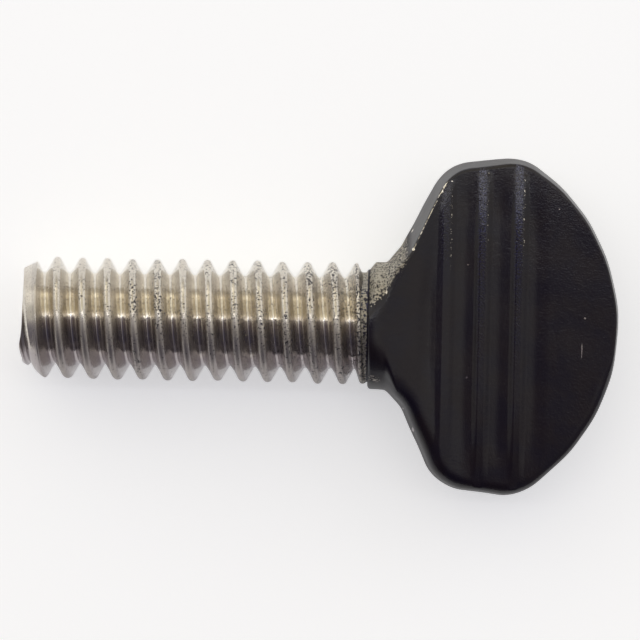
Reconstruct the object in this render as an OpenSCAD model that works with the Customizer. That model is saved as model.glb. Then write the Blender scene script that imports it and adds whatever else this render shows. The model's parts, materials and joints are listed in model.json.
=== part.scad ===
// Spade-head thumb screw: one forged piece with a rolled 1/4-20 thread.
// The screw lies on its side. +X runs along its axis from the tip to the head, +Z is up and square
// to the face of the head, and the origin is on the surface below the middle of its length.

/* [Thread] */
// Distance from one crest to the next along the axis
thread_pitch = 1.27; // [1:0.01:1.5]
// Diameter over the crests
crest_d = 6.2; // [5.8:0.05:6.4]
// Diameter at the bottom of the groove
root_d = 4.68; // [4.3:0.02:4.9]
// Width of a crest along the axis
crest_w = 0.1; // [0.06:0.01:0.3]
// Width of the bottom of the groove along the axis
root_w = 0.12; // [0.06:0.01:0.4]
// Length along the axis over which each end of a flank bends into the crest or the root
bend_l = 0.1; // [0.05:0.01:0.14]
// Length from the tip to the collar
shank_l = 17.75; // [12:0.05:30]
// Length over which the groove gets shallower towards the collar
runout_l = 0.8; // [0.4:0.1:2]
// Share of the groove's depth that is left at the collar
runout_share = 0.7; // [0.4:0.05:1]

/* [Tip] */
// Diameter of the flat end face
tip_d = 4.8; // [4.5:0.05:5.4]
// Slope of the end's taper, measured from the axis
tip_slope = 27; // [20:1:45]
// Distance from the end face to the first full crest on the +Y side
first_crest = 1.91; // [1.4:0.01:2.5]

/* [Collar] */
// Diameter of the collar between thread and head
collar_d = 6.54; // [6.4:0.05:7]
// How far the collar's centre lies off the thread's axis, towards -Y
collar_offset = 0.14; // [0:0.01:0.3]
// Length of the collar before the head flares out
collar_l = 0.85; // [0.6:0.05:1]
// Thickness of the collar over its upper and lower flats
collar_t = 6.3; // [6.26:0.02:6.4]

/* [Head outline] */
// Length of the head from the collar's start to its far end
head_l = 12.65; // [11.5:0.05:15]
// Half width of the +Y wing at its far corner
wing_a = 8.6; // [8.4:0.01:10]
// Half width of the -Y wing at its far corner
wing_b = 8.72; // [8.4:0.01:10]
// Distance from the collar's start to the flare of the +Y wing
flare_a = 1.23; // [1.2:0.01:1.6]
// Distance from the collar's start to the flare of the -Y wing
flare_b = 1.4; // [1.1:0.01:1.6]
// Slope of the +Y wing's flare, measured from the axis
flare_slope_a = 63; // [58:1:72]
// Slope of the -Y wing's flare, measured from the axis
flare_slope_b = 65; // [58:1:72]
// Slope of the crown, which still widens towards its far corner
crown_slope = 6.5; // [3:0.5:10]
// Distance from the collar's start to the far corner of the crown
crown_l = 7.8; // [7.5:0.05:8.5]
// Radius of the hollow between collar and flare
flare_r = 1.2; // [0.6:0.1:1.6]
// Radius of the shoulder between flare and crown
shoulder_r = 2.4; // [1.5:0.1:3]
// Radius of the corner between crown and far end
corner_r = 2.6; // [0.8:0.1:3]
// Radius of the far end's arc
end_r = 9.8; // [9:0.1:10]

/* [Head section] */
// Thickness of the head where the wedge meets the flat face
blade_t = 2.9; // [2.4:0.1:4]
// Thickness of the head at its far end
edge_t = 2.1; // [1.4:0.1:2.3]
// Distance from the collar's start to where the wedge meets the flat face
wedge_l = 3.3; // [2.8:0.1:3.6]
// Radius of the bends at both ends of the wedge
wedge_r = 1.5; // [0.5:0.1:2]
// Angle by which the rim leans in, from the middle of its thickness to each face
draft = 14; // [2:1:18]

/* [Ridges] */
// Number of ridges across each face
ridge_n = 3; // [1:1:4]
// Distance between two ridges
ridge_pitch = 1.83; // [1.4:0.01:2]
// Distance from the collar's start to the middle of the first ridge
ridge_x = 3.93; // [3.9:0.01:4.5]
// Width of a ridge at its foot
ridge_w = 0.8; // [0.5:0.05:1.1]
// Width of a ridge at its top
ridge_top_w = 0.36; // [0.2:0.02:0.45]
// Height of a ridge above the face
ridge_h = 0.22; // [0.1:0.01:0.4]
// Distance between a ridge's end and the rim
ridge_inset = 0.55; // [0.3:0.05:1]

/* [Hidden] */
// Steps of the helix in one turn of the thread
turn_n = 36;
// Largest angle between two neighbouring points of an arc
arc_step = 8;
// How deep one shape reaches into the next one where they join
sunk = 0.2;
// How far the outline starts before the collar, so that it still covers the collar where it leans in
lead = 1;
// How far the outline clears the round collar, which is narrower there
neck_margin = 0.08;
crest_r = crest_d / 2;
half_t = collar_t / 2;
root_r = root_d / 2;
collar_r = collar_d / 2;
overall_l = shank_l + head_l;

// ---- thread, with the screw's axis along Z and the tip at 0 ----

// The helix stands a little proud of the crests, so that a true cylinder trims it.
proud_r = crest_r * (1 + 1 / cos(180 / turn_n)) / 2;
flank_l = (thread_pitch - crest_w - root_w) / 2 - 2 * bend_l;
// A bend is half as steep as the flank. This is how much of the groove's depth it takes.
bend_share = bend_l / (flank_l + bend_l) / 2;
// One pitch of the thread's section: distance along the axis, and depth as a share of the groove's
groove_start = crest_w / 2;
groove_end = thread_pitch - crest_w / 2;
thread_section = [
    [-crest_w / 2, 0],
    [groove_start, 0],
    [groove_start + bend_l, bend_share],
    [groove_start + bend_l + flank_l, 1 - bend_share],
    [groove_start + 2 * bend_l + flank_l, 1],
    [groove_end - 2 * bend_l - flank_l, 1],
    [groove_end - bend_l - flank_l, 1 - bend_share],
    [groove_end - bend_l, bend_share],
];
section_n = len(thread_section);
// The helix starts and ends beyond the shank, and is cut off there.
helix_z = first_crest - thread_pitch * ceil(first_crest / thread_pitch + 0.5);
helix_n = turn_n * ceil((shank_l + thread_pitch - helix_z) / thread_pitch);

// How much of the groove's depth there is at a distance from the tip
function groove_share(z) =
    1 - (1 - runout_share) * min(1, max(0, (z - shank_l + runout_l) / runout_l));

function thread_point(step, j) =
    let(
        turn = 360 * step / turn_n,
        z = helix_z + thread_pitch * step / turn_n + thread_section[j][0],
        r = proud_r - (proud_r - root_r) * thread_section[j][1] * groove_share(z)
    )
    [r * cos(turn), r * sin(turn), z];

// Index of a point of the helix. Past a section's last point comes the first one of the next turn.
function thread_index(step, j) =
    j < section_n ? step * section_n + j : (step + turn_n) * section_n + j - section_n;

// The points around one open end of the helix
function thread_rim(step) = [
    for (i = [0:turn_n - 1]) thread_index(step + i, 0),
    for (j = [section_n:-1:1]) thread_index(step, j),
];

module thread_helix() {
    points = [
        for (step = [0:helix_n + turn_n], j = [0:section_n - 1]) thread_point(step, j),
        for (step = [0, helix_n]) [0, 0, thread_point(step + turn_n / 2, 0)[2]],
    ];
    hub = len(points) - 2;
    start_rim = thread_rim(0);
    end_rim = thread_rim(helix_n);
    rim_n = len(start_rim);
    faces = [
        for (step = [0:helix_n - 1], j = [0:section_n - 1])
            let(a = thread_index(step, j), c = thread_index(step + 1, j + 1))
                each [[a, c, thread_index(step + 1, j)], [a, thread_index(step, j + 1), c]],
        for (i = [0:rim_n - 1]) [hub, start_rim[i], start_rim[(i + 1) % rim_n]],
        for (i = [0:rim_n - 1]) [hub + 1, end_rim[(i + 1) % rim_n], end_rim[i]],
    ];
    polyhedron(points, faces, convexity = 10);
}

module thread() {
    tip_r = tip_d / 2;
    taper_l = (crest_r - tip_r) / tan(tip_slope);
    intersection() {
        thread_helix();
        rotate_extrude($fn = 96)
            polygon([[0, 0], [tip_r, 0], [crest_r, taper_l], [crest_r, shank_l + sunk], [0, shank_l + sunk]]);
    }
}

// ---- head, with the screw's axis along X and the collar's start at 0 ----

// The arc at corner i of a closed outline of [x, y, radius] corners
function corner_arc(corners, i) =
    let(
        n = len(corners),
        here = [corners[i][0], corners[i][1]],
        back = [corners[(i + n - 1) % n][0], corners[(i + n - 1) % n][1]] - here,
        ahead = [corners[(i + 1) % n][0], corners[(i + 1) % n][1]] - here,
        r = corners[i][2],
        half_angle = acos(back * ahead / norm(back) / norm(ahead)) / 2,
        mid = back / norm(back) + ahead / norm(ahead),
        centre = here + mid / norm(mid) * r / sin(half_angle),
        arm = here + back / norm(back) * r / tan(half_angle) - centre,
        sweep = (180 - 2 * half_angle) * sign(cross(back, ahead)) * -1,
        arc_n = max(2, ceil(abs(sweep) / arc_step))
    )
    [for (k = [0:arc_n]) let(a = sweep * k / arc_n)
        centre + [arm[0] * cos(a) - arm[1] * sin(a), arm[0] * sin(a) + arm[1] * cos(a)]];

// A closed outline of [x, y, radius] corners as points, where a radius of 0 keeps the corner sharp
function rounded(corners) = [
    for (i = [0:len(corners) - 1])
        each corners[i][2] == 0 ? [[corners[i][0], corners[i][1]]] : corner_arc(corners, i),
];

// The same corners on the other side of the X axis, in reverse order
function mirrored(corners) = [
    for (i = [len(corners) - 1:-1:0]) [corners[i][0], -corners[i][1], corners[i][2]],
];

// Corners of one wing's outline, from the collar to the middle of the far end
function wing_corners(neck, flare, flare_slope, wing) =
    let(
        crown_y0 = wing - crown_l * tan(crown_slope),
        shoulder_x = (crown_y0 - neck + flare * tan(flare_slope)) / (tan(flare_slope) - tan(crown_slope)),
        far = head_l - crown_l,
        // length of the tangent from the crown's corner to the far end's arc
        tangent_l = sqrt((end_r - far) ^ 2 + wing ^ 2 - end_r ^ 2),
        end_y = (far ^ 2 + wing ^ 2 - tangent_l ^ 2) / (tangent_l + wing) / 2
    )
    [
        [-lead, neck, 0],
        [flare, neck, flare_r],
        [shoulder_x, crown_y0 + shoulder_x * tan(crown_slope), shoulder_r],
        [crown_l, wing, corner_r],
        [head_l, end_y, end_r],
    ];

module head_outline() {
    side_a = wing_corners(collar_r - collar_offset + neck_margin, flare_a, flare_slope_a, wing_a);
    side_b = wing_corners(collar_r + collar_offset + neck_margin, flare_b, flare_slope_b, wing_b);
    polygon(rounded(concat(side_a, mirrored(side_b))));
}

// The head's outline as a block that leans in towards both faces
module leaning_outline() {
    middle_x = head_l / 2;
    lean = 1 - half_t * tan(draft) / wing_a;
    for (up = [0, 1])
        mirror([0, 0, up])
            translate([middle_x, 0, 0])
                linear_extrude(height = half_t, scale = lean)
                    translate([-middle_x, 0, 0]) head_outline();
}

// Distance from the head's middle plane to its face at a distance from the collar's start
function face_z(x) = (blade_t - (blade_t - edge_t) * (x - wedge_l) / (head_l - wedge_l)) / 2;

// The head's section along the axis: as thick as the thread at the collar, a wedge, and the flat blade
module head_section() {
    end_x = head_l + sunk;
    half = [
        [0, half_t, 0],
        [collar_l, half_t, wedge_r],
        [wedge_l, face_z(wedge_l), wedge_r],
        [end_x, face_z(end_x), 0],
    ];
    rotate([90, 0, 0])
        linear_extrude(height = 2 * (wing_a + wing_b), center = true)
            polygon(rounded(concat(half, mirrored(half))));
}

// The round collar, which opens out like a trumpet and rounds the wings where they start
module trumpet() {
    reach = wing_b + half_t;
    mouth_x = collar_l + reach / tan(flare_slope_b);
    half = [
        [0, collar_r, 0],
        [collar_l, collar_r, flare_r],
        [mouth_x, collar_r + reach, 0],
        [head_l + sunk, collar_r + reach, 0],
    ];
    translate([0, -collar_offset, 0])
        rotate([90, 0, 90])
            rotate_extrude($fn = 96)
                polygon([for (p = rounded(concat(half, [[head_l + sunk, 0, 0], [0, 0, 0]]))) [p[1], p[0]]]);
}

// A bar across the whole face, which the outline cuts to length
module ridge_bar(x) {
    foot = ridge_w / 2;
    top = ridge_top_w / 2;
    z = face_z(x);
    translate([x, 0, 0])
        rotate([90, 0, 0])
            linear_extrude(height = 2 * (wing_a + wing_b), center = true)
                polygon([[-foot, 0], [-foot, z], [-top, z + ridge_h], [top, z + ridge_h], [foot, z], [foot, 0]]);
}

module ridges() {
    middle_x = head_l / 2;
    share = 1 - ridge_inset / wing_a;
    intersection() {
        for (i = [0:ridge_n - 1], up = [0, 1])
            mirror([0, 0, up]) ridge_bar(ridge_x + i * ridge_pitch);
        translate([middle_x, 0, 0])
            linear_extrude(height = collar_t, center = true)
                scale(share) translate([-middle_x, 0, 0]) head_outline();
    }
}

module head() {
    intersection() {
        leaning_outline();
        head_section();
        trumpet();
    }
    ridges();
}

module thumb_screw() {
    translate([-overall_l / 2, 0, half_t]) {
        color("silver") rotate([90, 0, 90]) thread();
        color("#221e24") translate([shank_l, 0, 0]) head();
    }
}

thumb_screw();
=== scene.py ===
"""A spade-head thumb screw lying on a pale floor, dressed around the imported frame.

Sizes are in millimetres until a mesh is made. On the shank, s is the distance from the tip, and turn is the
angle around the axis, which starts at +Y and goes up over +Z. On the head, x is the distance from where the
collar starts. On both, y and z are measured from the axis.
"""

import json
import math

import bpy
import numpy as np
from mathutils import Matrix, Vector


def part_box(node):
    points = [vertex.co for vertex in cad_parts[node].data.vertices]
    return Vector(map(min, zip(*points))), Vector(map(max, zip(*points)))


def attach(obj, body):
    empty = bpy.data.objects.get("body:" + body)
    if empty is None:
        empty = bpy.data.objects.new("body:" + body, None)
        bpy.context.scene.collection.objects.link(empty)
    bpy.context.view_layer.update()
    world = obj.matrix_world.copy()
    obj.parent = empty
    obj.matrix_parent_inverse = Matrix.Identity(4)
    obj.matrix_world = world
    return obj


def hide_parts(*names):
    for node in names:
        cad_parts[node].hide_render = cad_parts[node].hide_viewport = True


MM = 0.001
NODE = "thumb_screw"
BODY = "root"

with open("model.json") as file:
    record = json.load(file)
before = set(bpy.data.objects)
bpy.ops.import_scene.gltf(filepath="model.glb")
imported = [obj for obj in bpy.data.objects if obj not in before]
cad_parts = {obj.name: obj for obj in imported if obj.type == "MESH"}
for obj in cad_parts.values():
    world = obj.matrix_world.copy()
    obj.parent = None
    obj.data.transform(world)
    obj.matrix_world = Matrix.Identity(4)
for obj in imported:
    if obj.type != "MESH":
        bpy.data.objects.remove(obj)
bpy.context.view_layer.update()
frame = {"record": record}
low, high = (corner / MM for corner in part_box(NODE))
mounts = {mount["name"]: mount for mount in frame["record"]["mounts"]}

# ---- places along the axis ----

TIP_X = low.x
END_X = high.x
AXIS_Z = (low.z + high.z) / 2
HEAD_L = 12.65
COLLAR_X = END_X - HEAD_L
SHANK_L = COLLAR_X - TIP_X

# ---- sizes of the thread ----

CREST_R = mounts["thread"]["dims"]["r_mm"]
PITCH = 1.27
ROOT_R = 2.34
FLANK_ANGLE = 60
CREST_ROUND = 0.21
# Distance of the first crest from the tip, on the +Y side, and how much too early the last one comes
FIRST_CREST = 1.91
LAST_CREST_EARLY = 0.3
# How far the crests are worn down, and waves in them: height, radians per millimetre and per turn, and start
CREST_WEAR = 0.02
CREST_WAVES = ((0.018, 1.7, 2, 0), (0.014, 0.63, -1, 1), (0.01, 4.1, 3, 0))
# Length over which the groove gets shallower towards the collar, and the share of its depth that is left
RUNOUT_L = 0.8
RUNOUT_SHARE = 0.7
# Radius of the lip of metal against the collar, its length, and how much smaller it is on the +Y side
LIP_R = 2.95
LIP_L = 0.42
LIP_FLAT = 0.36
# How far the shank reaches into the collar
OVERLAP = 0.3

# ---- sizes of the tip ----

TIP_R = 2.4
TIP_SLOPE = 27
TIP_ROUND = 0.05
TIP_RIM = 0.06
# Distance from the tip at which sections are square to the axis again
SQUARE_FROM = 1.5
# How far the taper is worn down on the -Y side
TIP_WEAR = 0.2
# Mean depth of the sheared edge, the angle where it lies deepest, and how far the end face's middle lies in
SHEAR_DEPTH = 0.21
SHEAR_ANGLE = 72
FACE_INSET = 0.2
CUP_DEPTH = 0.22
# Dents in the sheared edge: angle, spread, and how much deeper the edge lies there
SHEAR_DENTS = ((125, 17, -0.13), (165, 14, 0.1), (8, 30, -0.06))

# ---- sizes of the head ----

COLLAR_R = 3.27
COLLAR_OFFSET = 0.14
COLLAR_L = 0.8
COLLAR_HALF_T = AXIS_Z
COLLAR_ROUND = 0.22
# The flat that is cut off the collar's edge on the +Y side: its length and slope
CHAMFER_L = 0.33
CHAMFER_SLOPE = 1.3

# The wings towards +Y (A) and -Y (B): where the flare starts, its slope, and where the crown ends
FLARE_A, FLARE_SLOPE_A, CROWN_L_A = 1.23, 63, 7.7
FLARE_B, FLARE_SLOPE_B, CROWN_L_B = 1.36, 65, 7.8
CROWN_SLOPE = 6.5
FLARE_R = 1.7
SHOULDER_R = 2.4
CORNER_R = 2.6
END_R = 9.8
# How far the outline clears the collar and the wings' ends, which round off inside it
NECK_MARGIN = 0.08
WING_MARGIN = 0.1
# How far the outline starts before the collar, and the angle between two points of its arcs
LEAD = 1.0
ARC_STEP = 2

BLADE_HALF_T = 1.45
EDGE_HALF_T = 1.05
WEDGE_START = 0.45
WEDGE_L = 3.3
WEDGE_BLEND = 1.4
COLLAR_BLEND = 0.2
# How fast the face falls off towards the wings' ends, with the cube of y
FACE_FALL = 0.00012
DRAFT = 14
# Waves in the rim and in the face
RIM_WAVE = 0.02
FACE_WAVE = 0.006
# Width of the round edge between rim and face, and how much wider it is towards -Y, at the collar
EDGE_W = 0.08
SOFT_EDGE_W = 0.8

# Each row's share of a ridge's full height, of the depth of the groove after it, and of the shine on its top.
# The first row is only a groove, one step before the first ridge.
RIDGE_ROWS = ((0, 1.8, 0), (0.6, 1, 0.3), (1, 1, 1), (1, 1, 1))
RIDGE_PITCH = 1.83
RIDGE_X = 3.93
RIDGE_H = 0.19
RIDGE_INSET = 0.5
# Where a ridge rises and falls, measured from its middle, and how it gets lower towards its ends
RIDGE_RISE = (-0.54, -0.18)
RIDGE_FALL = (0.12, 0.44)
RIDGE_TAPER_Y = 3.0
RIDGE_TAPER_L = 4.8
RIDGE_END_Y = 7.85
GROOVE_START = 0.27
GROOVE_W = 1.2
GROOVE_DEPTH = 0.05


# ---- helpers ----

def smooth_max(a, b, width):
    """The larger of two distances, blended over a width where they are nearly the same."""
    gap = np.clip(width - np.abs(a - b), 0, None) / width
    return np.maximum(a, b) + gap * gap * width / 4


def smooth_step(x, start, end):
    """0 before start, 1 after end, and an S curve between them."""
    t = np.clip((x - start) / (end - start), 0, 1)
    return t * t * (3 - 2 * t)


def arc_drop(radius, off):
    """How far an arc has dropped below its top, at a distance from the top."""
    return radius - np.sqrt(np.clip(radius ** 2 - off ** 2, 0, None))


def make_piece(name, points, quads, triangles, masks, normals=None):
    """A smooth mesh in the row frame from points in millimetres, riding on the body in place of the CAD node.

    masks holds a value for each point. paint is how much paint is left there: below 0.3 almost none, at 0.5
    half, above 0.75 all of it. worn is 1 where the surface is dull. The last mask is 1 where steel is
    darkened with painted shade, and where paint is pitted, glossier and carries a painted bluish highlight.
    """
    mesh = bpy.data.meshes.new(name)
    mesh.from_pydata((points * MM).tolist(), [], quads.tolist() + triangles.tolist())
    mesh.validate()
    mesh.shade_smooth()
    if normals is not None:
        mesh.normals_split_custom_set_from_vertices(normals.tolist())
    for mask, values in masks.items():
        mesh.attributes.new(mask, "FLOAT", "POINT").data.foreach_set("value", values.astype(np.float32))
    mesh.materials.append(PAINTED_STEEL)
    piece = bpy.data.objects.new(name, mesh)
    bpy.context.scene.collection.objects.link(piece)
    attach(piece, BODY)
    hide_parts(NODE)


def loft_faces(ring_count, ring_size):
    """Quads between closed rings of points that follow each other."""
    ring, step = np.meshgrid(np.arange(ring_count - 1), np.arange(ring_size), indexing="ij")
    after = (step + 1) % ring_size
    corners = [ring * ring_size + step, ring * ring_size + after,
               (ring + 1) * ring_size + after, (ring + 1) * ring_size + step]
    return np.stack([c.ravel() for c in corners], axis=1)


def fan_faces(start, ring_size, hub):
    """Triangles between a closed ring of points and one point after it."""
    step = np.arange(ring_size)
    return np.stack([start + step, start + (step + 1) % ring_size, np.full(ring_size, hub)], axis=1)


# ---- nodes ----

def add_node(tree, kind, inputs, **settings):
    """A node with its settings, and with its inputs linked or set."""
    node = tree.nodes.new("ShaderNode" + kind)
    for name, value in settings.items():
        setattr(node, name, value)
    for name, value in inputs.items():
        if isinstance(value, bpy.types.NodeSocket):
            tree.links.new(value, node.inputs[name])
        else:
            node.inputs[name].default_value = value
    return node


def math_node(tree, operation, first, second=0.0):
    return add_node(tree, "Math", {0: first, 1: second}, operation=operation).outputs[0]


def plus(tree, first, second):
    return math_node(tree, "ADD", first, second)


def times(tree, first, second):
    return math_node(tree, "MULTIPLY", first, second)


def mask_node(tree, name):
    """A mask that the mesh holds for each point."""
    return add_node(tree, "Attribute", {}, attribute_name=name).outputs["Fac"]


def noise_node(tree, coords, scale, detail=2.0, roughness=0.5):
    inputs = {"Vector": coords, "Scale": scale, "Detail": detail, "Roughness": roughness}
    return add_node(tree, "TexNoise", inputs).outputs[0]


def step_node(tree, value, start, end, low_value=0.0, high_value=1.0):
    """An S curve between two values, as smooth_step gives."""
    inputs = {"Value": value, "From Min": start, "From Max": end, "To Min": low_value, "To Max": high_value}
    return add_node(tree, "MapRange", inputs, interpolation_type="SMOOTHSTEP").outputs[0]


def mix_colour(tree, share, first, second):
    inputs = {0: share, 6: first, 7: second}
    return add_node(tree, "Mix", inputs, data_type="RGBA").outputs[2]


def mix_value(tree, share, first, second):
    inputs = {0: share, 2: first, 3: second}
    return add_node(tree, "Mix", inputs, data_type="FLOAT").outputs[0]


def new_material(name):
    """A material with its node tree and shader."""
    material = bpy.data.materials.new(name)
    material.use_nodes = True
    return material, material.node_tree, material.node_tree.nodes["Principled BSDF"]


# ---- materials ----

BRIGHT_STEEL = (0.8, 0.755, 0.665, 1)
TARNISHED_STEEL = (0.72, 0.67, 0.585, 1)
STEEL_GRAIN = (0.36, 0.3, 0.29, 1)
# Painted shade: the steel's colour on its -Y side, which faces away from the light
MINUS_Y_SHADE_STEEL = (0.33, 0.295, 0.315, 1)
# Painted shade: the steel's colour on the thread's flanks
FLANK_SHADE_STEEL = (0.42, 0.39, 0.36, 1)
DULL_STEEL = (0.34, 0.315, 0.25, 1)
BLUE_BLACK = (0.0078, 0.0058, 0.0128, 1)
BROWN_BLACK = (0.0106, 0.0066, 0.0096, 1)
# Painted highlight: bluish and paler sheen colours laid on the ridge tops
BLUE_SHEEN = (0.03, 0.035, 0.13, 1)
PALE_SHEEN = (0.17, 0.18, 0.29, 1)
BUMP_DEPTH = 0.006

# Chips and a scratch in the paint of the head, from the frame's origin: the centre, and the half sizes
CHIPS = (((13.46, 0.52, 4.27), (0.09, 0.09, 0.3)), ((12.05, 5.99, 4.31), (0.07, 0.07, 0.3)),
         ((7.51, 3.13, 4.52), (0.07, 0.07, 0.3)), ((7.56, -2.56, 4.52), (0.08, 0.08, 0.3)),
         ((4.7, 4.75, 3.6), (0.13, 0.16, 0.13)), ((4.75, 3.87, 5.2), (0.11, 0.12, 0.5)),
         ((3.45, 1.75, 6.0), (0.08, 0.2, 0.3)), ((13.33, -1.1, 4.28), (0.05, 0.7, 0.3)),
         ((4.9, -5.3, 4.0), (0.12, 0.3, 0.9)), ((4.37, -4.25, 3.9), (0.08, 0.09, 0.9)))


def steel_look(tree, coords, across, worn, pits_shade_and_sheen):
    """Colour, roughness and height of bare steel: tarnish, grain, rolling marks, and painted shade on the -Y
    side and the flanks.
    """
    turned = add_node(tree, "VectorMath", {0: coords, 1: (11.0, 0.6, 0.6)}, operation="MULTIPLY").outputs[0]
    tarnish = noise_node(tree, coords, 0.9, 3.0)
    grain = noise_node(tree, coords, 9.0, 3.0, 0.6)
    marks = noise_node(tree, turned, 1.0, 2.0)

    colour = mix_colour(tree, step_node(tree, tarnish, 0.35, 0.65), BRIGHT_STEEL, TARNISHED_STEEL)
    colour = mix_colour(tree, step_node(tree, grain, 0.5, 0.75, 0.0, 0.5), colour, STEEL_GRAIN)
    # Painted shade: the steel darkens towards -Y, with tarnish noise along the edge of the darkening
    side_shade = plus(tree, across, times(tree, tarnish, 1.2))
    colour = mix_colour(tree, step_node(tree, side_shade, 0.0, -1.3, 0.0, 0.88), colour, MINUS_Y_SHADE_STEEL)
    # Painted shade on the thread's flanks, and a little darkening of the crest tops
    colour = mix_colour(tree, times(tree, pits_shade_and_sheen, 0.5), colour, FLANK_SHADE_STEEL)
    colour = mix_colour(tree, step_node(tree, worn, 0.5, 1.0, 0.0, 0.68), colour, DULL_STEEL)

    rough = step_node(tree, grain, 0.3, 0.7, 0.09, 0.2)
    rough = plus(tree, rough, step_node(tree, tarnish, 0.3, 0.7, 0.0, 0.07))
    rough = plus(tree, rough, times(tree, worn, 0.36))
    height = plus(tree, times(tree, marks, 0.35), times(tree, grain, 0.25))
    return colour, rough, height


def paint_look(tree, coords, across, worn, pits_shade_and_sheen):
    """Colour, roughness and height of black paint: orange peel, dimples, and on the ridge tops pits, more
    gloss and a painted bluish highlight.
    """
    hue = noise_node(tree, coords, 0.7, 2.0)
    colour = mix_colour(tree, step_node(tree, hue, 0.35, 0.65), BLUE_BLACK, BROWN_BLACK)
    # Painted highlight: a bluish sheen on the ridge tops, paler towards their +Y ends
    sheen = step_node(tree, noise_node(tree, coords, 12.0, 2.0), 0.4, 0.7)
    sheen = times(tree, sheen, times(tree, pits_shade_and_sheen, 0.6))
    sheen_tint = mix_colour(tree, step_node(tree, across, 4.5, 7.6), BLUE_SHEEN, PALE_SHEEN)
    colour = mix_colour(tree, sheen, colour, sheen_tint)

    rough = plus(tree, step_node(tree, hue, 0.3, 0.7, 0.19, 0.23), times(tree, worn, 0.45))
    rough = math_node(tree, "SUBTRACT", rough, times(tree, pits_shade_and_sheen, 0.14))
    orange_peel = noise_node(tree, coords, 13.0, 1.0)
    pits = times(tree, noise_node(tree, coords, 14.0, 2.0), times(tree, pits_shade_and_sheen, 0.7))
    dimples = times(tree, noise_node(tree, coords, 4.0, 2.0), 0.9)
    height = plus(tree, plus(tree, times(tree, orange_peel, 1.2), 0.4), plus(tree, pits, dimples))
    return colour, rough, height


def paint_cover(tree, coords, worn):
    """1 where paint is left and 0 where it has flaked or chipped off."""
    kept = mask_node(tree, "paint")
    for centre, size in CHIPS:
        share = [1 / side for side in size]
        shrunk = add_node(tree, "VectorMath", {0: coords, 1: share}, operation="MULTIPLY").outputs[0]
        middle = [a * b for a, b in zip(centre, share)]
        away = add_node(tree, "VectorMath", {0: shrunk, 1: middle}, operation="DISTANCE").outputs["Value"]
        kept = math_node(tree, "SUBTRACT", kept, step_node(tree, away, 1.0, 0.0, 0.0, 0.9))
    flakes = noise_node(tree, coords, 8.6, 3.0, 0.65)
    blur = plus(tree, times(tree, step_node(tree, worn, 0.8, 1.0), 0.05), 0.02)
    return step_node(tree, math_node(tree, "SUBTRACT", kept, flakes), times(tree, blur, -1.0), blur)


def painted_steel():
    """Bare steel, under black paint where the points have kept it."""
    material, tree, shader = new_material("painted_steel")
    place = add_node(tree, "TexCoord", {}).outputs["Object"]
    coords = add_node(tree, "VectorMath", {0: place, 3: 1 / MM}, operation="SCALE").outputs[0]
    across = add_node(tree, "SeparateXYZ", {0: coords}).outputs["Y"]
    worn, pits_shade_and_sheen = mask_node(tree, "worn"), mask_node(tree, "pits_shade_and_sheen")
    steel_colour, steel_rough, steel_height = steel_look(tree, coords, across, worn, pits_shade_and_sheen)
    paint_colour, paint_rough, paint_height = paint_look(tree, coords, across, worn, pits_shade_and_sheen)
    cover = paint_cover(tree, coords, worn)

    tree.links.new(mix_colour(tree, cover, steel_colour, paint_colour), shader.inputs["Base Color"])
    tree.links.new(mix_value(tree, cover, steel_rough, paint_rough), shader.inputs["Roughness"])
    tree.links.new(math_node(tree, "SUBTRACT", 1.0, cover), shader.inputs["Metallic"])
    height = mix_value(tree, cover, steel_height, paint_height)
    bump = add_node(tree, "Bump", {"Height": height, "Strength": 1.0, "Distance": BUMP_DEPTH * MM})
    tree.links.new(bump.outputs[0], shader.inputs["Normal"])
    return material


PAINTED_STEEL = painted_steel()


# ---- thread ----

TURN_POINTS = 144
PITCH_POINTS = 36
FACE_RINGS = (0.05, 0.35, 0.6, 0.78, 0.9, 0.96)


def groove_share(s):
    """How much of the groove's depth there is at a distance from the tip."""
    return 1 - (1 - RUNOUT_SHARE) * smooth_step(s, SHANK_L - RUNOUT_L, SHANK_L)


def thread_radius(s, turn):
    """Radius of the rolled thread: straight flanks between a round, worn crest and a round root."""
    early = LAST_CREST_EARLY * smooth_step(s, SHANK_L - 0.85, SHANK_L - 0.15)
    phase = (s + early - FIRST_CREST) / PITCH - turn / (2 * math.pi)
    off_crest = np.abs(phase - np.round(phase)) * PITCH

    depth = CREST_R - ROOT_R
    steep = math.tan(math.radians(FLANK_ANGLE))
    bend = math.cos(math.radians(90 - FLANK_ANGLE))
    root_round = PITCH / 2 * steep - depth - CREST_ROUND
    crest_end = CREST_ROUND * bend
    root_start = PITCH / 2 - root_round * bend
    crest_drop = arc_drop(CREST_ROUND, np.minimum(off_crest, crest_end))
    flank_drop = steep * np.clip(off_crest, crest_end, root_start) - steep * crest_end
    root_rise = arc_drop(root_round, PITCH / 2 - np.maximum(off_crest, root_start))
    root_drop = np.where(off_crest > root_start, root_round / 2 - root_rise, 0)
    drop = crest_drop + flank_drop + root_drop

    wander = sum(height * np.sin(per_mm * s + per_turn * turn + start)
                 for height, per_mm, per_turn, start in CREST_WAVES)
    return CREST_R - CREST_WEAR + wander * (1 - drop / depth) - drop * groove_share(s)


def tip_end(turn):
    """How far the edge of the sheared end face lies inside the tip, around the axis."""
    inset = SHEAR_DEPTH * (1 + np.cos(turn - math.radians(SHEAR_ANGLE)))
    for centre, spread, dent in SHEAR_DENTS:
        off = np.degrees(np.angle(np.exp(1j * (turn - math.radians(centre)))))
        inset += dent * np.exp(-(off / spread) ** 2)
    return inset


def ring_points(s, radius, turn):
    """A ring around the axis, with its own s and radius at each angle."""
    return np.stack([s, radius * np.cos(turn), radius * np.sin(turn)], axis=1)


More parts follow.
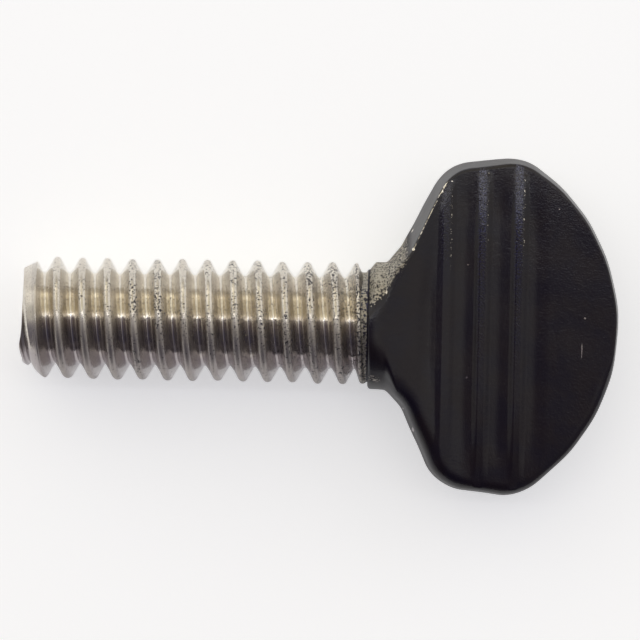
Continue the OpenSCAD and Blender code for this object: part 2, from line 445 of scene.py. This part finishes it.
def threaded_shank():
    """The shank from its cupped end face into the collar."""
    turn = np.linspace(0, 2 * math.pi, TURN_POINTS, endpoint=False)
    end = tip_end(turn)
    slope = math.tan(math.radians(TIP_SLOPE))
    worn_down = TIP_WEAR * smooth_step(-np.cos(turn), 0.3, 1)
    lip = LIP_R - LIP_FLAT * smooth_step(np.cos(turn), 0.4, 0.95) + 0.02 * np.sin(9 * turn)

    rings = []
    for share in FACE_RINGS:
        radius = (TIP_R + end * slope - TIP_RIM) * share - worn_down * share
        cup = CUP_DEPTH * (1 - share ** 2) + 0.03 * np.sin(5 * turn + 2) * share * (1 - share)
        inside = end * share ** 5 + FACE_INSET * (1 - share ** 5) + cup
        rings.append(ring_points(inside, radius, turn))
    for start in np.arange(0, SHANK_L + OVERLAP, PITCH / PITCH_POINTS):
        s = start + end * max(0.0, 1 - start / SQUARE_FROM)
        taper = TIP_R - TIP_ROUND + s * slope + np.sqrt(np.clip(start, 0, TIP_ROUND) * TIP_ROUND)
        taper -= worn_down * (1 - smooth_step(s, 0.3, 1.6))
        radius = -smooth_max(-thread_radius(s, turn), -taper, 0.06)
        radius = smooth_max(radius, lip - 6 * np.clip(SHANK_L - LIP_L - s, 0, None), 0.05)
        radius -= 8 * np.clip(s - SHANK_L, 0, None)
        rings.append(ring_points(s, radius, turn))

    hub = rings[0].mean(axis=0, keepdims=True)
    points = np.concatenate(rings + [hub])
    quads = loft_faces(len(rings), TURN_POINTS)
    cap = fan_faces(0, TURN_POINTS, len(points) - 1)[:, ::-1]
    make_piece("threaded_shank", points + [TIP_X, 0, AXIS_Z], quads, cap, thread_masks(points))


def thread_masks(points):
    """Specks of overspray, most on crests and near the head. Crests, tip and lip are dull; flanks get painted
    shade.
    """
    s, y, z = points.T
    radius = np.hypot(y, z)
    crest = smooth_step(radius, ROOT_R + 0.35, CREST_R - 0.05)
    cluster = np.exp(-((s - 6.4) / 1.6) ** 2)
    patches = np.sin(0.9 * s + 1.4 * y) * np.sin(0.5 * s + 0.7 * z + 2)
    level = 0.33 + 0.05 * smooth_step(s, 3, SHANK_L) - 0.035 * (1 - smooth_step(s, 1.5, 4.5))
    level += 0.035 * patches + crest * (0.02 + 0.03 * smooth_step(y, -1.5, 1) + 0.05 * cluster)
    level += 0.07 * smooth_step(s, SHANK_L - 1.3, SHANK_L - 0.1)
    level += 0.5 * smooth_step(s, SHANK_L - 0.06, SHANK_L - 0.01)

    dull_crest = smooth_step(radius, CREST_R - 0.3, CREST_R - 0.03) * (0.7 - 0.5 * smooth_step(y, -0.5, 0.5))
    dull_lip = 0.9 * smooth_step(s, SHANK_L - 0.55, SHANK_L - 0.35)
    dull_tip = 0.45 * (1 - smooth_step(s, 0.5, 0.9))

    # Painted shade: the flanks are darkened, the flank on one side of each crest more, and the crest tops a
    # little
    phase = (s - FIRST_CREST) / PITCH - np.arctan2(z, y) / (2 * math.pi)
    facing = np.where(phase > np.round(phase), 1.0, 0.45)
    top = smooth_step(radius, CREST_R - 0.2, CREST_R - 0.04)
    flank = smooth_step(radius, ROOT_R + 0.06, ROOT_R + 0.25) * (1 - top)
    return {"paint": level, "worn": np.max([dull_crest, dull_lip, dull_tip], axis=0),
            "pits_shade_and_sheen": flank * facing + 0.4 * top}


# ---- shape of the head ----

def corner_arc(back, corner, ahead, radius):
    """Points of the arc that rounds a corner."""
    if radius == 0:
        return [corner]
    to_back = (back - corner) / np.linalg.norm(back - corner)
    to_ahead = (ahead - corner) / np.linalg.norm(ahead - corner)
    half = math.acos(np.dot(to_back, to_ahead)) / 2
    middle = (to_back + to_ahead) / np.linalg.norm(to_back + to_ahead)
    centre = corner + middle * radius / math.sin(half)
    arm = corner + to_back * radius / math.tan(half) - centre
    sweep = -(math.pi - 2 * half) * np.sign(to_back[0] * to_ahead[1] - to_back[1] * to_ahead[0])
    count = max(2, math.ceil(abs(math.degrees(sweep)) / ARC_STEP))
    angles = sweep * np.arange(count + 1) / count
    return [centre + np.array([arm[0] * math.cos(a) - arm[1] * math.sin(a),
                               arm[0] * math.sin(a) + arm[1] * math.cos(a)]) for a in angles]


def wing_corners(neck, flare, flare_slope, wing, crown_l):
    """Corners of one wing, with their radii, from the collar to the middle of the far end."""
    crown_slope = math.tan(math.radians(CROWN_SLOPE))
    slope = math.tan(math.radians(flare_slope))
    crown_y0 = wing - crown_l * crown_slope
    shoulder_x = (crown_y0 - neck + flare * slope) / (slope - crown_slope)
    far = HEAD_L - crown_l
    tangent = math.sqrt((END_R - far) ** 2 + wing ** 2 - END_R ** 2)
    end_y = (far ** 2 + wing ** 2 - tangent ** 2) / (tangent + wing) / 2
    return [(-LEAD, neck, 0), (flare, neck, FLARE_R),
            (shoulder_x, crown_y0 + shoulder_x * crown_slope, SHOULDER_R),
            (crown_l, wing, CORNER_R), (HEAD_L, end_y, END_R)]


def head_outline():
    """The head seen square to its face, as a closed line of points."""
    neck = COLLAR_R + NECK_MARGIN
    side_a = wing_corners(neck - COLLAR_OFFSET, FLARE_A, FLARE_SLOPE_A, high.y + WING_MARGIN, CROWN_L_A)
    side_b = wing_corners(neck + COLLAR_OFFSET, FLARE_B, FLARE_SLOPE_B, -low.y + WING_MARGIN, CROWN_L_B)
    corners = side_a + [(x, -y, r) for x, y, r in reversed(side_b)]
    points = []
    for i, (x, y, radius) in enumerate(corners):
        back, ahead = corners[i - 1], corners[(i + 1) % len(corners)]
        points += corner_arc(np.array(back[:2]), np.array([x, y]), np.array(ahead[:2]), radius)
    return np.array(points)


OUTLINE = head_outline()


def outline_distance(x, y):
    """Signed distance to the head's outline in plan, negative inside."""
    shape = np.shape(x)
    px, py = np.ravel(x), np.ravel(y)
    best = np.full(px.shape, 1e9)
    inside = np.zeros(px.shape, bool)
    for (ax, ay), (bx, by) in zip(OUTLINE, np.roll(OUTLINE, -1, axis=0)):
        ex, ey = bx - ax, by - ay
        length = max(ex * ex + ey * ey, 1e-12)
        t = np.clip(((px - ax) * ex + (py - ay) * ey) / length, 0, 1)
        best = np.minimum(best, (px - ax - t * ex) ** 2 + (py - ay - t * ey) ** 2)
        if ay != by:
            inside ^= ((ay > py) != (by > py)) & (px < ex * (py - ay) / ey + ax)
    distance = np.sqrt(best)
    return np.where(inside, -distance, distance).reshape(shape)


def face_height(x, y=0.0):
    """Half the head's thickness without the ridges. The face rolls off towards the wings' ends."""
    blade = BLADE_HALF_T + (EDGE_HALF_T - BLADE_HALF_T) * (x - WEDGE_L) / (HEAD_L - WEDGE_L)
    slope = (COLLAR_HALF_T - BLADE_HALF_T) / (WEDGE_L - WEDGE_START)
    wedge = COLLAR_HALF_T - (x - WEDGE_START) * slope
    falling = smooth_max(blade - FACE_FALL * np.abs(y) ** 3, wedge, WEDGE_BLEND)
    return -smooth_max(-falling, np.full(np.shape(falling), -COLLAR_HALF_T), COLLAR_BLEND)


def ridge_offset(x, i):
    """Distance from the middle of a ridge along the head."""
    return x - RIDGE_X - i * RIDGE_PITCH


def ridge_height(x, y, rim):
    """Height of the ridges and of the shallow grooves beside them, where rim is the distance to the rim."""
    height = np.zeros(np.shape(x + y))
    lost = 0.8 + 0.2 * smooth_step(-y, 0, 1)
    left = 1 - lost * np.clip((np.abs(y) - RIDGE_TAPER_Y) / RIDGE_TAPER_L, 0, 1) ** 1.8
    left *= smooth_step(RIDGE_END_Y - np.abs(y), 0, 0.3)
    for i, (tall, deep, _) in enumerate(RIDGE_ROWS, start=-1):
        off = ridge_offset(x, i)
        rise = smooth_step(off, *RIDGE_RISE)
        fall = 1 - 0.2 * np.clip(off + 0.2, 0, 0.4) / 0.4 - 0.8 * smooth_step(off, *RIDGE_FALL)
        ridge = RIDGE_H * tall * left * rise * fall * smooth_step(rim, 0.1, RIDGE_INSET)
        across = np.clip((off - GROOVE_START) / GROOVE_W, 0, 1)
        groove = GROOVE_DEPTH * deep * np.sin(math.pi * across) ** 2 * smooth_step(rim, 0.3, 2.6)
        height += ridge - groove
    return height


def ridge_tops(x):
    """1 along the shiny top of a ridge and 0 beside it."""
    tops = np.zeros(np.shape(x))
    for i, (_, _, shine) in enumerate(RIDGE_ROWS, start=-1):
        off = ridge_offset(x, i)
        tops += smooth_step(off, -0.38, -0.26) * (1 - smooth_step(off, 0.0, 0.14)) * shine
    return tops


def head_walls(x, y, z):
    """Distances from the rim, which leans less at the far end and towards -Y, and from the ridged face."""
    plan, up = outline_distance(x, y), np.abs(z)
    lean = math.tan(math.radians(DRAFT))
    lean = lean * (1 - 0.5 * smooth_step(x, 6, 10.5)) * (1 - 0.3 * smooth_step(-y, 0, 4))
    wall = plan + up * lean + RIM_WAVE * np.sin(2.3 * x + 0.8) * np.sin(1.9 * y)
    waves = FACE_WAVE * np.sin(1.3 * x + 0.9 * y) * np.sin(0.8 * y - 0.5 * x + 1)
    face = up - face_height(x, y) - ridge_height(x, y, -plan - up * lean) + waves
    return wall, face


def head_distance(x, y, z):
    """Roughly the distance from the head's surface, negative inside. Its edges are softer towards -Y."""
    wall, face = head_walls(x, y, z)
    widening = np.maximum(x - COLLAR_L, 0) * math.tan(math.radians(FLARE_SLOPE_B))
    flare = np.sqrt(widening ** 2 + 0.5) - math.sqrt(0.5)
    bevel = arc_drop(COLLAR_ROUND, np.clip(COLLAR_ROUND - x, 0, None))
    chamfer = CHAMFER_SLOPE * np.clip(CHAMFER_L - x, 0, None) * smooth_step(y, 0, 2)
    trumpet = np.hypot(y + COLLAR_OFFSET, z) - COLLAR_R - flare + np.maximum(bevel, chamfer)
    edge_width = EDGE_W + (SOFT_EDGE_W - 0.35 * smooth_step(x, 2.5, 6)) * smooth_step(-y, 0.9, 2.8)
    return smooth_max(smooth_max(wall, face, edge_width), trumpet, 0.15 + 0.3 * smooth_step(-y, 0.9, 2.4))


# ---- mesh of the head ----

FACE_POINTS = 96
CORNER_POINTS = 23
# Spans along the head, each with its number of sections, and the number from the last span to the far end
STATION_SPANS = ((0, 0.4, 10), (0.4, 1, 8), (1, 3.3, 32), (3.3, 8.5, 130), (8.5, 11.8, 26))
END_SECTIONS = 26
# The grid across a section that finds its outline, a length beyond every ray, and how often that is halved
GRID_HALF_W, GRID_N = 9.2, 921
RAY_L = 10.0
HALVINGS = 20
NORMAL_STEP = 0.012
# How far the ridges' tops turn towards their own shine, the most that they tilt, and from where to where on y
POLISH = 0.85
POLISH_TILT = 0.085
POLISH_Y = (3.4, 7.2)


def head_stations():
    """Distances from the collar's start at which the head is cut, closer together where it bends more."""
    stations = np.concatenate([np.linspace(a, b, n, endpoint=False) for a, b, n in STATION_SPANS])
    left = HEAD_L - STATION_SPANS[-1][1]
    last = HEAD_L - left * (1 - np.linspace(0, 0.985, END_SECTIONS)) ** 2
    return np.concatenate([stations, last])


def section_rays():
    """Rays around a section: where each starts on the line inside it, from 1 to -1, and its direction."""
    fan = np.linspace(0, math.pi / 2, CORNER_POINTS)
    fan = fan - 0.07 * np.sin(4 * fan)
    face = np.linspace(1, -1, FACE_POINTS)
    face = np.sign(face) * (1 - (1 - np.abs(face)) ** 1.25)
    corner = np.ones(CORNER_POINTS - 1)
    side = np.concatenate([corner, face, -corner])
    ray_y = np.concatenate([np.cos(fan[:-1]), np.zeros(FACE_POINTS), -np.cos(fan[:0:-1])])
    ray_z = np.concatenate([np.sin(fan[:-1]), np.ones(FACE_POINTS), np.sin(fan[:0:-1])])
    return (np.concatenate([side, [-1], side[:0:-1]]), np.concatenate([ray_y, [-1], ray_y[:0:-1]]),
            np.concatenate([ray_z, [0], -ray_z[:0:-1]]))


def line_ends(stations):
    """How far the line inside each section reaches towards +Y and towards -Y."""
    grid_y = np.linspace(-GRID_HALF_W, GRID_HALF_W, GRID_N)
    reach = np.zeros((2, len(stations)))
    for i, station in enumerate(stations):
        inside = grid_y[outline_distance(np.full(grid_y.shape, station), grid_y) < 0]
        if len(inside):
            reach[:, i] = inside.max(), -inside.min()
    half_t = np.minimum(face_height(stations), COLLAR_HALF_T)
    ends = np.clip(reach - half_t * 1.02, 0, None) * smooth_step(stations, 0.6, 2.2)
    return np.minimum(ends, reach * 0.9)


def head_surface(x, start_y, ray_y, ray_z):
    """y and z at which each ray leaves the head."""
    near, far = np.zeros(len(x)), np.full(len(x), RAY_L)
    for _ in range(HALVINGS):
        middle = (near + far) / 2
        outside = head_distance(x, start_y + ray_y * middle, ray_z * middle) > 0
        far = np.where(outside, middle, far)
        near = np.where(outside, near, middle)
    return start_y + ray_y * near, ray_z * near


def head_normals(x, y, z):
    """Directions square to the surface. On the worn tops of the ridges they tilt towards the wings' ends."""
    normals = np.stack([head_distance(x + dx, y + dy, z + dz) - head_distance(x - dx, y - dy, z - dz)
                        for dx, dy, dz in np.eye(3) * NORMAL_STEP], axis=1)
    wall, face = head_walls(x, y, z)
    polish = POLISH * ridge_tops(x) * (face > wall)
    tilt = POLISH_TILT * smooth_step(np.abs(y), *POLISH_Y) * np.sign(y) * np.linalg.norm(normals, axis=1)
    normals[:, 1] += polish * (tilt - normals[:, 1])
    return normals / (np.linalg.norm(normals, axis=1, keepdims=True) + 1e-12)


def painted_head():
    """The head as closed sections across its length, each found along rays from a line inside it."""
    stations = head_stations()
    side, ray_y, ray_z = section_rays()
    size, count = len(side), len(stations)
    towards_a, towards_b = line_ends(stations)
    start_y = np.where(side > 0, side * towards_a[:, None], side * towards_b[:, None]).ravel()
    x = np.repeat(stations, size)
    y, z = head_surface(x, start_y, np.tile(ray_y, count), np.tile(ray_z, count))

    rings = np.stack([x, y, z], axis=1)
    points = np.concatenate([rings[:size] * [1, 0.7, 0.7], rings, [[HEAD_L - 0.0005, 0, 0]]])
    normals = np.concatenate([np.tile([-1.0, 0, 0], (size, 1)), head_normals(x, y, z), [[1.0, 0, 0]]])
    quads = loft_faces(count + 1, size)
    cap = fan_faces(count * size, size, len(points) - 1)
    make_piece("painted_head", points + [COLLAR_X, 0, AXIS_Z], quads, cap, head_masks(points), normals)


# Where the paint ends around the neck: distances from the collar's start, and y there
NECK_LINE = ((0, 0.45, 0.8, 0.95, 1.3, 1.85, 2.25, 2.6), (0.5, 0.8, 1.1, 1.7, 2.2, 3.0, 3.8, 4.9))


def head_masks(points):
    """Little paint around the neck, chips along the rim and ridges, a dull rim, and a painted highlight on
    the ridge tops.
    """
    x, y, z = points.T
    wall, face = head_walls(x, y, z)
    rim = wall - face
    on_rim = smooth_step(rim, -0.04, 0.12)

    fade = 1 - 0.85 * smooth_step(x, 0.7, 1.2)
    neck = smooth_step((y - np.interp(x, *NECK_LINE)) / fade, -0.3, 0.8) * (1 - smooth_step(x, 1.7, 2.4))
    bare = 0.49 - 0.04 * smooth_step(x, 0.7, 1.3)
    collar = smooth_step(-y, 2.0, 2.7) * (1 - smooth_step(-y, 2.6, 3.3)) * (1 - smooth_step(x, 0.3, 1.5))
    edge = np.exp(-(rim / 0.07) ** 2) * smooth_step(y, 0.5, 2.5) * (1 - smooth_step(x, 3.6, 4.6))
    edge *= 0.48 + 0.16 * smooth_step(y, 4, 6.5)
    chipped = on_rim * smooth_step(y, 0, 1) * (1 - smooth_step(x, 1.1, 2.8))
    level = 0.95 - np.max([bare * neck, 0.44 * collar, edge, 0.4 * chipped], axis=0)
    level += 0.3 * (1 - smooth_step(x, 0.0, 0.08))

    ridge_edges = np.zeros(len(x))
    for i in range(len(RIDGE_ROWS) - 1):
        off = ridge_offset(x, i)
        ridge_edges += np.exp(-((off - 0.16) / 0.11) ** 2) + 0.7 * np.exp(-((off + 0.26) / 0.1) ** 2)
    level -= 0.35 * ridge_edges * smooth_step(y, -4, 5) * (1 - on_rim)

    dull_rim = on_rim * (0.3 + 0.3 * smooth_step(-y, 0, 3))
    # Painted highlight mask on the ridge tops, faint in the middle and strongest towards the +Y ends, where
    # the paint is also pitted and glossier
    tops = ridge_tops(x) * (0.2 + 0.8 * smooth_step(y, 0.5, 6)) * smooth_step(y, -6, 0)
    return {"paint": np.clip(level, 0, 1), "worn": np.max([dull_rim, neck, collar], axis=0),
            "pits_shade_and_sheen": tops * (face > wall)}


# ---- scene ----

# The camera's height over the axis, the picture's size and scale at the axis, the point it looks at,
# the point where it stands, and its roll
CAMERA_HEIGHT = 177
IMAGE_SIDE = 640
PIXELS_PER_MM = 19.705
AIM = Vector((0.09, 0.13, AXIS_Z))
FOOT = Vector((4.035, 9.0, AXIS_Z + CAMERA_HEIGHT))
ROLL = math.radians(1.03)

FLOOR_HALF_M = 2.0
FLOOR_COLOUR = (0.84, 0.86, 0.89, 1)
FLOOR_GLOW = 0.51

# Brightness of the surroundings at angles from overhead towards +Y, above the axis and beside it
SKY_MIDDLE = ((-90, (0.14, 0.13, 0.15)), (-66, (0.14, 0.13, 0.15)), (-61, (0.05, 0.046, 0.075)),
              (-30, (0.045, 0.042, 0.066)), (-6, (0.1, 0.08, 0.108)), (3, (0.155, 0.132, 0.17)),
              (8, (0.36, 0.36, 0.46)), (13, (0.95, 0.9, 0.8)), (19, (0.98, 0.91, 0.74)),
              (26, (0.74, 0.68, 0.54)), (56, (0.72, 0.66, 0.53)), (62, (1.3, 1.22, 1.02)),
              (68, (1.3, 1.22, 1.02)), (73, (0.56, 0.52, 0.45)), (90, (0.56, 0.54, 0.5)))
SKY_SIDES = ((-90, (0.22, 0.21, 0.23)), (-60, (0.16, 0.15, 0.18)), (-30, (0.16, 0.15, 0.18)),
             (-13, (0.32, 0.3, 0.32)), (-2, (0.6, 0.58, 0.55)), (90, (0.6, 0.58, 0.55)))
# From where to where on a direction's x the middle gives way to the sides
SKY_RIGHT_START = (0.02, 0.5)
SKY_LEFT_START = (0.45, 0.8)


def make_camera():
    """The camera nearly overhead, aimed at the middle of the screw and rolled a little."""
    data = bpy.data.cameras.new("camera")
    distance = (FOOT - AIM).length
    data.sensor_width = 36
    data.lens = data.sensor_width * PIXELS_PER_MM * distance / IMAGE_SIDE
    data.clip_start, data.clip_end = 0.01, 10
    camera = bpy.data.objects.new("camera", data)
    bpy.context.scene.collection.objects.link(camera)
    back = (FOOT - AIM).normalized()
    right = Vector((0, 1, 0)).cross(back).normalized()
    up = back.cross(right)
    turn = Matrix((right, up, back)).transposed().to_4x4() @ Matrix.Rotation(ROLL, 4, "Z")
    camera.matrix_world = Matrix.Translation(FOOT * MM) @ turn
    bpy.context.scene.camera = camera


def make_floor():
    """A pale floor that glows where it is seen, directly or in the metal, and still takes the shadow."""
    mesh = bpy.data.meshes.new("floor")
    side = FLOOR_HALF_M
    corners = [(-side, -side, 0), (side, -side, 0), (side, side, 0), (-side, side, 0)]
    mesh.from_pydata(corners, [], [(0, 1, 2, 3)])
    floor = bpy.data.objects.new("floor", mesh)
    bpy.context.scene.collection.objects.link(floor)
    material, tree, shader = new_material("white_floor")
    shader.inputs["Base Color"].default_value = FLOOR_COLOUR
    shader.inputs["Roughness"].default_value = 1
    shader.inputs["Specular IOR Level"].default_value = 0
    path = add_node(tree, "LightPath", {}).outputs
    seen = math_node(tree, "MAXIMUM", path["Is Camera Ray"], path["Is Glossy Ray"])
    seen = math_node(tree, "MAXIMUM", seen, path["Is Transmission Ray"])
    shader.inputs["Emission Color"].default_value = (1, 1, 1, 1)
    tree.links.new(times(tree, seen, FLOOR_GLOW), shader.inputs["Emission Strength"])
    mesh.materials.append(material)


def make_lamp(name, centre, width, height, radiance, colour):
    """A soft box aimed at the axis. radiance is how bright its face looks, where 1 is white."""
    data = bpy.data.lights.new(name, "AREA")
    data.shape = "RECTANGLE"
    data.size, data.size_y = width * MM, height * MM
    data.energy = radiance * math.pi * data.size * data.size_y
    data.color = colour
    lamp = bpy.data.objects.new(name, data)
    bpy.context.scene.collection.objects.link(lamp)
    lamp.location = Vector(centre) * MM
    lamp.rotation_mode = "QUATERNION"
    lamp.rotation_quaternion = (Vector(centre) - Vector((0, 0, AXIS_Z))).to_track_quat("Z", "Y")


def sky_ramp(tree, across, stops):
    """Brightness over the angle from overhead towards +Y."""
    span = {"Value": across, "From Min": -math.pi / 2, "From Max": math.pi / 2}
    ramp = add_node(tree, "ValToRGB", {0: add_node(tree, "MapRange", span).outputs[0]})
    elements = ramp.color_ramp.elements
    for degrees, colour in stops:
        position = (degrees + 90) / 180
        element = elements[0] if position == 0 else elements[-1] if position == 1 else elements.new(position)
        element.color = (*colour, 1)
    return ramp.outputs[0]


def make_world():
    """Pale surroundings with a dark patch overhead on the -Y side."""
    world = bpy.data.worlds.new("studio")
    bpy.context.scene.world = world
    world.use_nodes = True
    tree = world.node_tree
    direction = add_node(tree, "TexCoord", {}).outputs["Generated"]
    parts = add_node(tree, "SeparateXYZ", {0: direction}).outputs
    across = math_node(tree, "ARCTAN2", parts["Y"], parts["Z"])
    middle = sky_ramp(tree, across, SKY_MIDDLE)
    sides = sky_ramp(tree, across, SKY_SIDES)
    to_left = step_node(tree, times(tree, parts["X"], -1.0), *SKY_LEFT_START)
    along = math_node(tree, "MAXIMUM", step_node(tree, parts["X"], *SKY_RIGHT_START), to_left)
    background = tree.nodes["Background"]
    tree.links.new(mix_colour(tree, along, middle, sides), background.inputs["Color"])
    background.inputs["Strength"].default_value = 1


make_camera()
make_floor()
make_world()
make_lamp("strip", (0, 47, 250), 340, 14, 3.2, (0.94, 0.95, 1.0))
make_lamp("left_box", (-200, 190, 130), 220, 220, 0.45, (1.0, 0.98, 0.94))
make_lamp("right_box", (200, 190, 130), 220, 220, 0.45, (1.0, 0.98, 0.94))

threaded_shank()
painted_head()

bpy.context.scene.view_settings.view_transform = "Standard"
